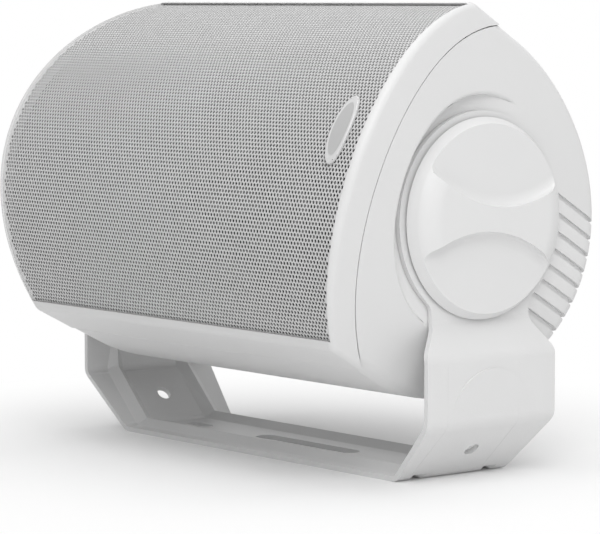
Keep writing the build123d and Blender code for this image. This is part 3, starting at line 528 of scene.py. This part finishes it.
def addMargins(bm, g):
    # plain margin out to the rim, front and back
    rims = []
    for level, shrink in ((0.0, 0.0), (-g["sheet"], g["rimWall"])):
        ragged = [
            edge for edge in bm.edges
            if edge.is_boundary and abs(edge.verts[0].co.z - level) < g["spare"]
        ]
        grid = bmesh.ops.create_grid(bm, x_segments=g["rimAlong"], y_segments=g["rimUp"], size=1.0)
        inner = facesAt(grid["verts"])
        rim = [edge for face in inner for edge in face.edges if edge.is_boundary]
        bmesh.ops.delete(bm, geom=inner, context="FACES_KEEP_BOUNDARY")
        arc = g["radius"] * grilleAngle(g, shrink, level)
        for vert in {vert for edge in rim for vert in edge.verts}:
            along = vert.co.x
            vert.co.y *= arc
            vert.co.x = along * grilleEnd(g, vert.co.y, shrink)
            vert.co.z = level
        bmesh.ops.triangle_fill(bm, use_beauty=True, edges=rim + ragged, normal=(0, 0, 1))
        rims.append(rim)
    return rims


def layFlatMap(bm, g):
    flatMap = bm.loops.layers.uv.new("OFBake")
    for face in bm.faces:
        for loop in face.loops:
            spot = loop.vert.co
            loop[flatMap].uv = (
                spot.x * g["bakeScale"] + g["bakeShift"], spot.y * g["bakeScale"] + g["bakeShift"],
            )


def bendSheet(bm, g, rims):
    # bend the flat sheet round the grille's axis
    radius = g["radius"]
    axisU = g["apexU"] - radius
    for vert in bm.verts:
        angle = vert.co.y / radius
        reach = radius + vert.co.z
        vert.co = (vert.co.x, reach * math.sin(angle), axisU + reach * math.cos(angle))

    # turn the rim in towards the frame's ledge
    lowRims = []
    for rim in rims:
        turned = bmesh.ops.extrude_edge_only(bm, edges=rim)
        for vert in vertsOf(turned["geom"]):
            low = axisU + math.sqrt((radius - g["flange"]) ** 2 - vert.co.y ** 2)
            vert.co.x *= 1 - g["endDraft"] * (vert.co.z - low) / g["halfLength"]
            vert.co.z = low
        lowRims += [edge for edge in edgesOf(turned["geom"]) if edge.is_boundary]
    bmesh.ops.bridge_loops(bm, edges=lowRims)


def perforatedSheet(g):
    bm, middle = holeField(g)
    dropOutside(bm, g, middle)
    rims = addMargins(bm, g)
    layFlatMap(bm, g)
    bendSheet(bm, g, rims)
    bmesh.ops.recalc_face_normals(bm, faces=bm.faces)
    print("grille open edges:", openEdges(bm))
    return bm


def grilleParts(g):
    # three closed lengths of one sheet, so that none is too heavy
    whole = perforatedSheet(g)
    limits = (None, *g["cuts"], None)
    for name, low, high in zip(("grilleLeft", "grilleMiddle", "grilleRight"), limits, limits[1:]):
        bm = whole.copy()
        for place, normal in ((low, -1), (high, 1)):
            if place is None:
                continue
            cut = bmesh.ops.bisect_plane(
                bm, geom=everything(bm), dist=g["cutSlack"], plane_co=(place, 0, 0), plane_no=(normal, 0, 0),
                clear_outer=True,
            )
            bmesh.ops.triangle_fill(bm, use_beauty=False, edges=edgesOf(cut["geom_cut"]), normal=(normal, 0, 0))
        bmesh.ops.transform(bm, matrix=toWorld, verts=bm.verts)
        roundShading(bm, g["sharpAngle"])
        part = addPiece(name, bm, "speaker", "white_grille", grillePowder)
        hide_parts("grille")
        print(name, len(part.data.polygons), "faces")
    whole.free()


grilleParts(grilleSheet)

# front frame: white outside; inside the grille and on the ledge under its rim, black painted shade so the holes
# read dark
frameRing = {
    "node": "front_baffle", "chamberLength": 92.9 * mm, "chamberHeight": 59.9 * mm, "floorU": 41.0 * mm,
    "ledgeRadius": 80.45 * mm, "ledgeSlack": 0.5 * mm, "ledgeFacing": 0.9, "soft": 0.25 * mm,
}


def framePiece(setup):
    bm = mergedCopy(setup["node"])
    roundShading(bm)
    axisU = grilleSheet["apexU"] - grilleSheet["radius"]
    for face in bm.faces:
        spot = toBody @ face.calc_center_median()
        inChamber = (
            abs(spot.x) < setup["chamberLength"]
            and abs(spot.y) < setup["chamberHeight"]
            and spot.z > setup["floorU"]
        )
        fromAxis = Vector((0, spot.y, spot.z - axisU))
        outward = (toBody.to_3x3() @ face.normal).dot(fromAxis.normalized())
        atLedge = abs(fromAxis.length - setup["ledgeRadius"]) < setup["ledgeSlack"]
        onLedge = atLedge and outward > setup["ledgeFacing"]
        # faces inside the chamber and on the ledge under the grille's rim take the black painted shade
        face.material_index = 1 if inChamber or onLedge else 0
    piece = addPiece("frontFrame", bm, "speaker", "white_housing", whiteShell, paintedShadeBlack)
    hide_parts(setup["node"])
    softenEdges(piece, setup["soft"])


framePiece(frameRing)

# rear cabinet: its cooling grooves carried on over the rounded edge at the back
rearFins = {
    "node": "rear_cabinet", "pitch": 6.35 * mm, "count": 9, "width": 1.9 * mm, "depth": 1.5 * mm,
    "from": -6.0 * mm, "to": -66.0 * mm, "step": 1.5 * mm, "above": 118.0 * mm,
    "endLength": 110.8 * mm, "endFrom": 59.1 * mm, "endDraft": 0.11, "endBow": 192.0 * mm,
    "backRadius": 70.5 * mm, "backCentre": 6.0 * mm, "edgeRadius": 7.0 * mm, "soft": 0.3 * mm,
    "rimNear": 44.5 * mm, "rimFar": 53.0 * mm, "rimBack": -25.0 * mm, "rimWallFacing": 0.5, "rimEndFacing": 0.9,
    "rimRound": 1.4 * mm, "rimSegments": 4,
}


def endSurface(f, v, u):
    # how far out the cabinet's end stands at a place, with its rounded edge
    bow = f["endBow"] - math.sqrt(f["endBow"] ** 2 - v ** 2)
    flat = f["endLength"] + f["endDraft"] * (u - f["endFrom"]) - bow
    room = f["backRadius"] - math.hypot(u - f["backCentre"], v)
    short = min(max(f["edgeRadius"] - room, 0.0), f["edgeRadius"])
    return flat - f["edgeRadius"] + math.sqrt(f["edgeRadius"] ** 2 - short ** 2)


def finCutters(f):
    bm = bmesh.new()
    count = round((f["from"] - f["to"]) / f["step"])
    for side in (1, -1):
        for index in range(f["count"]):
            v = (index - (f["count"] - 1) / 2) * f["pitch"]
            places = [f["from"] - f["step"] * i for i in range(count + 1)]
            outline = [(endSurface(f, v, u) - f["depth"], u) for u in places]
            outline += [(f["above"], places[-1]), (f["above"], places[0])]
            loop = [bm.verts.new((side * x, v - f["width"] / 2, u)) for x, u in outline]
            wall = bm.faces.new(loop)
            moved = bmesh.ops.extrude_face_region(bm, geom=[wall])
            bmesh.ops.translate(bm, vec=(0, f["width"], 0), verts=vertsOf(moved["geom"]))
    bmesh.ops.recalc_face_normals(bm, faces=bm.faces)
    bmesh.ops.transform(bm, matrix=toWorld, verts=bm.verts)
    return bm


def cutAway(bm, cutters):
    # difference of two closed shapes
    objects = []
    for name, shape in (("cutShell", bm), ("cutTool", cutters)):
        mesh = bpy.data.meshes.new(name)
        shape.to_mesh(mesh)
        shape.free()
        made = bpy.data.objects.new(name, mesh)
        scene.collection.objects.link(made)
        objects.append(made)
    shell, tool = objects
    cut = shell.modifiers.new("cut", "BOOLEAN")
    cut.operation = "DIFFERENCE"
    cut.solver = "EXACT"
    cut.object = tool
    result = bmesh.new()
    result.from_object(shell, bpy.context.evaluated_depsgraph_get())
    for made in objects:
        mesh = made.data
        bpy.data.objects.remove(made)
        bpy.data.meshes.remove(mesh)
    return result


def roundRecess(bm, f):
    # the clamp recess runs into the end with a soft rim
    rim = []
    for edge in bm.edges:
        if len(edge.link_faces) != 2:
            continue
        spot = toBody @ ((edge.verts[0].co + edge.verts[1].co) / 2)
        wallFacing, endFacing = sorted(abs(face.normal.x) for face in edge.link_faces)
        atRim = f["rimNear"] < math.hypot(spot.y, spot.z) < f["rimFar"] and spot.z > f["rimBack"]
        if atRim and wallFacing < f["rimWallFacing"] and endFacing > f["rimEndFacing"] and edge.is_convex:
            rim.append(edge)
    print("recess rim edges:", len(rim))
    bmesh.ops.bevel(
        bm, geom=rim, offset=f["rimRound"], offset_type="OFFSET", segments=f["rimSegments"], profile=0.5,
        affect="EDGES", material=-1, clamp_overlap=False,
    )


def rearPiece(f):
    shell = mergedCopy(f["node"])
    roundRecess(shell, f)
    bm = cutAway(shell, finCutters(f))
    joinUp(bm)
    roundShading(bm)
    print("rear shell open edges:", openEdges(bm), len(bm.faces), "faces")
    piece = addPiece("rearShell", bm, "speaker", "white_housing", whiteShell)
    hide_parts(f["node"])
    softenEdges(piece, f["soft"])


rearPiece(rearFins)

# the frame's ends made whole at the corners beside the parting line
cornerFill = {
    "centreU": -21.2 * mm, "near": 80.73 * mm, "far": 85.0 * mm,
    "from": 44.0, "to": 60.2, "steps": 18, "rows": 5, "edge": 70.3 * mm,
    "halfHeight": 70.5 * mm, "edgeRadius": 3.0 * mm, "sunk": 0.03 * mm, "thick": 1.6 * mm,
}


def cornerSpot(c, f, along, outward):
    # a place on the frame's end beside a corner, both shares running from 0 to 1
    angle = math.radians(c["from"] + (c["to"] - c["from"]) * along)
    far = min(c["far"], c["edge"] / math.sin(angle))
    reach = c["near"] + (far - c["near"]) * outward
    v, u = reach * math.sin(angle), c["centreU"] + reach * math.cos(angle)
    bow = f["endBow"] - math.sqrt(f["endBow"] ** 2 - v ** 2)
    short = max(c["edgeRadius"] - (c["halfHeight"] - v), 0.0)
    drop = c["edgeRadius"] - math.sqrt(c["edgeRadius"] ** 2 - short ** 2)
    x = f["endLength"] + f["endDraft"] * (u - f["endFrom"]) - bow - drop - c["sunk"]
    return x, v, u


def cornerPiece(c, f):
    bm = bmesh.new()
    for side in (1, -1):
        for turn in (1, -1):
            grid = bmesh.ops.create_grid(bm, x_segments=c["steps"], y_segments=c["rows"], size=0.5)
            for vert in grid["verts"]:
                x, v, u = cornerSpot(c, f, vert.co.x + 0.5, vert.co.y + 0.5)
                vert.co = (side * x, turn * v, u)
            moved = bmesh.ops.extrude_face_region(bm, geom=facesAt(grid["verts"]))
            bmesh.ops.translate(bm, vec=(-side * c["thick"], 0, 0), verts=vertsOf(moved["geom"]))
    bmesh.ops.recalc_face_normals(bm, faces=bm.faces)
    print("frame corner open edges:", openEdges(bm), len(bm.faces), "faces")
    bmesh.ops.transform(bm, matrix=toWorld, verts=bm.verts)
    roundShading(bm)
    addPiece("frameCorners", bm, "speaker", "white_housing", whiteShell)


cornerPiece(cornerFill, rearFins)

# oval badge, standing on the sheet
badgeForm = {"lift": 0.45 * mm, "soft": 0.35 * mm}
badgePiece = shellPiece("ovalBadge", "grille_badge", "speaker", "badge", paleBadge, badgeForm["soft"])
badgePiece.data.transform(Matrix.Translation(toWorld.to_3x3() @ Vector((0, 0, badgeForm["lift"]))))

# bracket folded from one sheet
bracketForm = {"soft": 0.35 * mm}
shellPiece("wallBracket", "bracket", "bracket", "white_bracket", whitePowder, bracketForm["soft"])

# strips that close the outside of the pressed ribs on the bracket's feet
footStrips = {
    "ribY": 17.5 * mm, "halfWidth": 4.3 * mm, "lift": 0.01 * mm, "thick": 0.05 * mm,
    "foot": (85.698 * mm, 0.284 * mm), "along": (0.7152, 0.6989), "start": 3.0 * mm,
    "bendCentre": (101.0 * mm, 25.03 * mm), "bendRadius": 7.0 * mm, "bendFrom": -45.7, "bendSteps": 9,
    "top": 44.6 * mm,
}


def stripProfile(s, lift):
    # outside of the sheet from the foot, round the bend and up the arm, raised by lift
    points = [(
        s["foot"][0] + s["along"][0] * s["start"] + s["along"][1] * lift,
        s["foot"][1] + s["along"][1] * s["start"] - s["along"][0] * lift,
    )]
    reach = s["bendRadius"] + lift
    for i in range(s["bendSteps"] + 1):
        angle = math.radians(s["bendFrom"] * (1 - i / s["bendSteps"]))
        points.append((
            s["bendCentre"][0] + reach * math.cos(angle),
            s["bendCentre"][1] + reach * math.sin(angle),
        ))
    points.append((points[-1][0], s["top"]))
    return points


def stripPiece(s):
    bm = bmesh.new()
    for side in (1, -1):
        for rib in (s["ribY"], -s["ribY"]):
            outline = stripProfile(s, s["lift"] + s["thick"]) + stripProfile(s, s["lift"])[::-1]
            wall = bm.faces.new([bm.verts.new((side * x, rib - s["halfWidth"], z)) for x, z in outline])
            moved = bmesh.ops.extrude_face_region(bm, geom=[wall])
            bmesh.ops.translate(bm, vec=(0, 2 * s["halfWidth"], 0), verts=vertsOf(moved["geom"]))
    bmesh.ops.recalc_face_normals(bm, faces=bm.faces)
    roundShading(bm)
    addPiece("footStrips", bm, "bracket", "white_bracket", whitePowder)


stripPiece(footStrips)

# clamp knobs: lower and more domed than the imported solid
gripForm = {
    "base": 102.5 * mm, "height": 7.5 / 11.0, "rim": 0.992, "lean": 18.5,
    "pocket": 6.6 * mm, "pocketTop": 4.3 * mm, "sharpAngle": math.radians(40), "soft": 0.3 * mm,
}


def gripPiece(side, form):
    bm = mergedCopy(side + "_knob")
    pivotZ = bodyPose["pivotZ"]
    for vert in bm.verts:
        rise = abs(vert.co.x) - form["base"]
        reach = math.hypot(vert.co.y, vert.co.z - pivotZ)
        # the pocket for the stud's head stays as it is
        if reach < form["pocket"] and rise < form["pocketTop"]:
            continue
        low = rise * form["height"]
        narrow = form["rim"] - form["lean"] * low
        vert.co = (
            math.copysign(form["base"] + low, vert.co.x),
            vert.co.y * narrow,
            pivotZ + (vert.co.z - pivotZ) * narrow,
        )
    roundShading(bm, form["sharpAngle"])
    piece = addPiece(side + "Grip", bm, side + "_knob", "white_knob", whiteGrip)
    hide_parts(side + "_knob")
    softenEdges(piece, form["soft"])


for side in ("right", "left"):
    gripPiece(side, gripForm)
    shellPiece(side + "Disc", side + "_washer", side + "_washer", "black_rubber", blackRubber)

# tray of the two terminals
trayForm = {"soft": 0.25 * mm}
shellPiece("terminalTray", "terminal_cup", "speaker", "black_plastic", blackMoulding, trayForm["soft"])
print("shells dressed")

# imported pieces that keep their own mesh
plainFinishes = {
    "baffle_gasket": paleRubber, "woofer_gasket": blackRubber, "woofer_surround": blackRubber,
    "baffle_screws": blackSteel, "tweeter_screws": blackSteel, "woofer_screws": blackSteel,
    "crossover_screws": zincSteel, "terminal_screws": zincSteel,
    "right_stud": zincSteel, "left_stud": zincSteel,
    "woofer_top_plate": zincSteel, "woofer_pole_plate": zincSteel,
    "right_insert": turnedBrass, "left_insert": turnedBrass,
    "positive_post": turnedBrass, "negative_post": turnedBrass,
    "woofer_basket": blackSteel, "tweeter_magnet": ferriteGrey, "woofer_magnet": ferriteGrey,
    "tweeter_faceplate": blackMoulding, "crossover_capacitors": blackMoulding,
    "woofer_cone": conePulp, "woofer_dust_cap": conePulp, "tweeter_dome": domeSilk,
    "woofer_voice_coil": copperTurns, "crossover_coil": copperTurns, "woofer_spider": spiderCloth,
    "damping_pad": paleWadding, "crossover_board": boardGreen,
    "woofer_wires": wireSleeve, "tweeter_wires": wireSleeve, "terminal_wires": wireSleeve,
    "positive_cap": redGrip, "negative_cap": blackGrip,
}
for node, finish in plainFinishes.items():
    for slot in nodes[node].material_slots:
        slot.material = finish
print("plain nodes dressed:", len(plainFinishes))

# floor and light
studio = {
    "floorSize": 6.0, "floorWhite": 0.95, "floorSwing": 0.01, "floorTone": 3.0, "floorRough": 0.75,
    "fadeFrom": 0.05, "fadeOver": 0.2, "worldLight": 0.38,
    "keyPower": 9.4, "keySize": 0.9, "keyAt": (0.95, -0.55, 0.95),
    "topPower": 6.6, "topSize": 1.2, "topAt": (0.0, 0.1, 1.3),
    "aim": (0.0, 0.0, 0.08),
}


def floorFinish():
    # lit paper near the speaker, plain white for the camera further off
    shade = Shade("paleFloor")
    place = shade.place()
    tone = shade.noise(place, studio["floorTone"])
    darkPaper = grey(studio["floorWhite"] - studio["floorSwing"])
    lightPaper = grey(studio["floorWhite"] + studio["floorSwing"])
    paper = shade.node("ShaderNodeBsdfPrincipled", None, {
        "Base Color": shade.blend(tone, darkPaper, lightPaper),
        "Roughness": studio["floorRough"],
    })
    reach = shade.node("ShaderNodeVectorMath", {"operation": "LENGTH"}, {0: place}, output="Value")
    fade = shade.node("ShaderNodeMapRange", {"interpolation_type": "SMOOTHSTEP"}, {
        "Value": reach,
        "From Min": studio["fadeFrom"],
        "From Max": studio["fadeFrom"] + studio["fadeOver"],
    })
    seen = shade.node("ShaderNodeLightPath", output="Is Camera Ray")
    mirrored = shade.node("ShaderNodeLightPath", output="Is Glossy Ray")
    glow = shade.node("ShaderNodeEmission", None, {"Color": (1, 1, 1, 1), "Strength": 1.0})
    both = shade.node("ShaderNodeMixShader", None, {0: fade * (seen + mirrored), 1: paper, 2: glow})
    shade.node("ShaderNodeOutputMaterial", None, {"Surface": both})
    return shade.material


def softbox(name, place, size, power):
    lamp = bpy.data.lights.new(name, "AREA")
    lamp.shape = "SQUARE"
    lamp.size = size
    lamp.energy = power
    holder = bpy.data.objects.new(name, lamp)
    holder.location = place
    holder.rotation_euler = (Vector(studio["aim"]) - Vector(place)).to_track_quat("-Z", "Y").to_euler()
    scene.collection.objects.link(holder)


floorShape = bmesh.new()
bmesh.ops.create_grid(floorShape, x_segments=1, y_segments=1, size=studio["floorSize"])
floorMesh = bpy.data.meshes.new("studioFloor")
floorShape.to_mesh(floorMesh)
floorShape.free()
floorMesh.materials.append(floorFinish())
studioFloor = bpy.data.objects.new("studioFloor", floorMesh)
scene.collection.objects.link(studioFloor)
softbox("keyBox", studio["keyAt"], studio["keySize"], studio["keyPower"])
softbox("topBox", studio["topAt"], studio["topSize"], studio["topPower"])


def studioWorld():
    # plain white for the camera and in reflections, dimmer as a light
    world = bpy.data.worlds.new("studioWorld")
    world.use_nodes = True
    tree = world.node_tree
    tree.nodes.clear()
    rays = tree.nodes.new("ShaderNodeLightPath")
    seen = tree.nodes.new("ShaderNodeMath")
    seen.operation = "MAXIMUM"
    tree.links.new(rays.outputs["Is Camera Ray"], seen.inputs[0])
    tree.links.new(rays.outputs["Is Glossy Ray"], seen.inputs[1])
    level = tree.nodes.new("ShaderNodeMix")
    level.inputs[2].default_value = studio["worldLight"]
    level.inputs[3].default_value = 1.0
    tree.links.new(seen.outputs[0], level.inputs[0])
    glow = tree.nodes.new("ShaderNodeBackground")
    glow.inputs["Color"].default_value = (1, 1, 1, 1)
    tree.links.new(level.outputs[0], glow.inputs["Strength"])
    out = tree.nodes.new("ShaderNodeOutputWorld")
    tree.links.new(glow.outputs[0], out.inputs["Surface"])
    scene.world = world


studioWorld()

# camera fitted to the photo's outline
photoCamera = {
    "azimuth": 51.13, "elevation": 5.08, "distance": 1185.83 * mm, "lens": 180.4, "sensor": 36.0,
    "target": (-4.43 * mm, 0.0, 71.81 * mm), "clipStart": 0.05, "clipEnd": 20.0,
}


def aimCamera(setup):
    turn, rise = math.radians(setup["azimuth"]), math.radians(setup["elevation"])
    back = Vector((math.sin(turn) * math.cos(rise), -math.cos(turn) * math.cos(rise), math.sin(rise)))
    lens = bpy.data.cameras.new("photoCamera")
    lens.sensor_width = setup["sensor"]
    lens.sensor_fit = "HORIZONTAL"
    lens.lens = setup["lens"]
    lens.clip_start, lens.clip_end = setup["clipStart"], setup["clipEnd"]
    camera = bpy.data.objects.new("photoCamera", lens)
    camera.location = Vector(setup["target"]) + back * setup["distance"]
    camera.rotation_mode = "QUATERNION"
    camera.rotation_quaternion = (-back).to_track_quat("-Z", "Y")
    scene.collection.objects.link(camera)
    scene.camera = camera


aimCamera(photoCamera)
scene.view_settings.view_transform = "Standard"
print("studio set")
